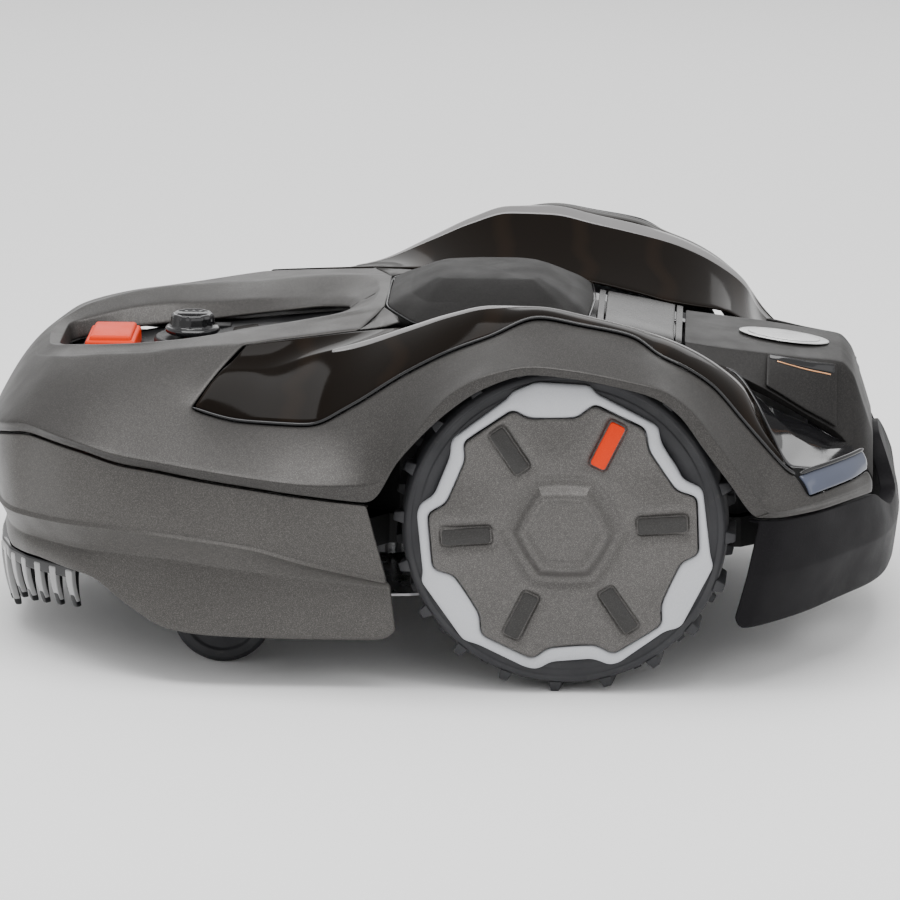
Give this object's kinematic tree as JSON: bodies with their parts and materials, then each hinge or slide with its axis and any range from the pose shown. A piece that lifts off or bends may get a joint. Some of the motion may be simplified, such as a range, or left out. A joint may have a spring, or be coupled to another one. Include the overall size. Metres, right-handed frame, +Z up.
{
  "type": "robotic lawn mower",
  "caption": "Low robotic lawn mower with a floating metallic cover, large lugged rear drive wheels, front casters, a control recess and a free-blade cutting disc.",
  "frame": {"origin": "middle of the footprint, on the ground under the wheels", "axes": "+X towards the front (foot guard), +Y towards the left drive wheel, +Z up"},
  "size_m": [0.723, 0.544, 0.2901],
  "materials": {
    "body_metallic": "metallic painted plastic",
    "skirt_metallic": "metallic painted plastic",
    "textured_grey": "fine grained plastic",
    "bumper_plastic": "soft matt plastic",
    "smoked_window": "smoked glossy plastic",
    "gloss_black": "piano black plastic",
    "gloss_grey": "glossy plastic",
    "lamp_lens": "tinted clear plastic",
    "badge_silver": "satin silver",
    "chassis_plastic": "moulded plastic",
    "guard_plastic": "moulded plastic",
    "tray_plastic": "moulded plastic",
    "battery_case": "moulded plastic",
    "circuit_board": "solder resist",
    "motor_case": "cast",
    "steel": "bright",
    "disc_steel": "brushed",
    "contact_copper": "bright",
    "post_rubber": "matt",
    "tyre_rubber": "matt",
    "rim_grey": "satin plastic",
    "hub_grey": "grained plastic",
    "signal_orange": "satin plastic"
  },
  "bodies": {
    "chassis": {"chassis_pan": "chassis_plastic", "chassis_cover": "chassis_plastic", "battery_pack": "battery_case", "battery_hatch": "chassis_plastic", "main_circuit_board": "circuit_board", "gear_motor_left": "motor_case", "gear_motor_right": "motor_case", "foot_guard": "guard_plastic", "charge_plate_left": "contact_copper", "charge_plate_right": "contact_copper", "float_post_1": "post_rubber", "float_post_2": "post_rubber", "float_post_3": "post_rubber", "float_post_4": "post_rubber", "control_console": "tray_plastic", "display_window": "smoked_window", "cutting_guide": "chassis_plastic"},
    "stop_button": {"stop_button": "signal_orange"},
    "knob_shaft": {"knob_shaft": "steel"},
    "knob": {"knob": "gloss_black"},
    "cutting_carriage": {"cutting_motor": "chassis_plastic"},
    "cutting_disc": {"cutting_disc": "disc_steel", "blade_screw_1": "steel", "blade_screw_2": "steel", "blade_screw_3": "steel"},
    "blade_1": {"blade_1": "steel"},
    "blade_2": {"blade_2": "steel"},
    "blade_3": {"blade_3": "steel"},
    "skid_plate": {"skid_plate": "chassis_plastic"},
    "body_carrier": {"body_carrier": "chassis_plastic"},
    "body_shell": {"top_cover": "body_metallic", "skirt": "skirt_metallic", "rear_bumper": "bumper_plastic", "trim_left": "smoked_window", "trim_right": "smoked_window", "lamp_left": "lamp_lens", "lamp_right": "lamp_lens", "dome_cover": "textured_grey", "deck_panel": "gloss_grey", "inner_deck": "gloss_black", "rear_module": "textured_grey", "accessory_panel_left": "textured_grey", "accessory_panel_right": "textured_grey", "badge_plate": "badge_silver"},
    "drive_wheel_left": {"tyre_left": "tyre_rubber", "rim_left": "rim_grey", "hub_cap_left": "hub_grey", "hub_marker_left": "signal_orange", "wheel_axle_left": "steel"},
    "caster_fork_left": {"caster_fork_left": "chassis_plastic"},
    "caster_wheel_left": {"caster_wheel_left": "tyre_rubber", "caster_axle_left": "steel"},
    "drive_wheel_right": {"tyre_right": "tyre_rubber", "rim_right": "rim_grey", "hub_cap_right": "hub_grey", "hub_marker_right": "signal_orange", "wheel_axle_right": "steel"},
    "caster_fork_right": {"caster_fork_right": "chassis_plastic"},
    "caster_wheel_right": {"caster_wheel_right": "tyre_rubber", "caster_axle_right": "steel"}
  },
  "joints": [
    {"name": "stop_button_press", "type": "slide", "parent": "chassis", "child": "stop_button", "axis": [0, 0, -1], "range_m": [0, 0.004], "stiffness_N_per_m": 1500, "springref_m": -0.002},
    {"name": "knob_push", "type": "slide", "parent": "chassis", "child": "knob_shaft", "axis": [0, 0, -1], "range_m": [0, 0.002], "stiffness_N_per_m": 1500, "springref_m": -0.002},
    {"name": "knob_turn", "type": "hinge", "parent": "knob_shaft", "child": "knob", "pos_m": [0.205, 0, 0.2235], "axis": [0, 0, 1], "continuous": true},
    {"name": "cutting_height", "type": "slide", "parent": "chassis", "child": "cutting_carriage", "axis": [0, 0, 1], "range_m": [-0.02, 0.02]},
    {"name": "cutting_disc_spin", "type": "hinge", "parent": "cutting_carriage", "child": "cutting_disc", "pos_m": [0.045, 0, 0.04], "axis": [0, 0, 1], "continuous": true},
    {"name": "skid_plate_spin", "type": "hinge", "parent": "cutting_disc", "child": "skid_plate", "pos_m": [0.045, 0, 0.031], "axis": [0, 0, 1], "continuous": true},
    {"name": "body_lift", "type": "slide", "parent": "chassis", "child": "body_carrier", "axis": [0, 0, 1], "range_m": [0, 0.01]},
    {"name": "body_shift", "type": "slide", "parent": "body_carrier", "child": "body_shell", "axis": [1, 0, 0], "range_m": [-0.008, 0.008], "stiffness_N_per_m": 2500},
    {"name": "blade_1_swing", "type": "hinge", "parent": "cutting_disc", "child": "blade_1", "pos_m": [0.149, 0, 0.037], "axis": [0, 0, 1], "continuous": true},
    {"name": "blade_2_swing", "type": "hinge", "parent": "cutting_disc", "child": "blade_2", "pos_m": [-0.007, 0.09007, 0.037], "axis": [0, 0, 1], "continuous": true},
    {"name": "blade_3_swing", "type": "hinge", "parent": "cutting_disc", "child": "blade_3", "pos_m": [-0.007, -0.09007, 0.037], "axis": [0, 0, 1], "continuous": true},
    {"name": "drive_wheel_left_spin", "type": "hinge", "parent": "chassis", "child": "drive_wheel_left", "pos_m": [-0.1004, 0.22, 0.131], "axis": [0, 1, 0], "continuous": true},
    {"name": "caster_left_swivel", "type": "hinge", "parent": "chassis", "child": "caster_fork_left", "pos_m": [0.192, 0.16, 0.09], "axis": [0, 0, 1], "continuous": true},
    {"name": "caster_left_roll", "type": "hinge", "parent": "caster_fork_left", "child": "caster_wheel_left", "pos_m": [0.168, 0.16, 0.04], "axis": [0, 1, 0], "continuous": true},
    {"name": "drive_wheel_right_spin", "type": "hinge", "parent": "chassis", "child": "drive_wheel_right", "pos_m": [-0.1004, -0.22, 0.131], "axis": [0, 1, 0], "continuous": true},
    {"name": "caster_right_swivel", "type": "hinge", "parent": "chassis", "child": "caster_fork_right", "pos_m": [0.192, -0.16, 0.09], "axis": [0, 0, 1], "continuous": true},
    {"name": "caster_right_roll", "type": "hinge", "parent": "caster_fork_right", "child": "caster_wheel_right", "pos_m": [0.168, -0.16, 0.04], "axis": [0, 1, 0], "continuous": true}
  ]
}
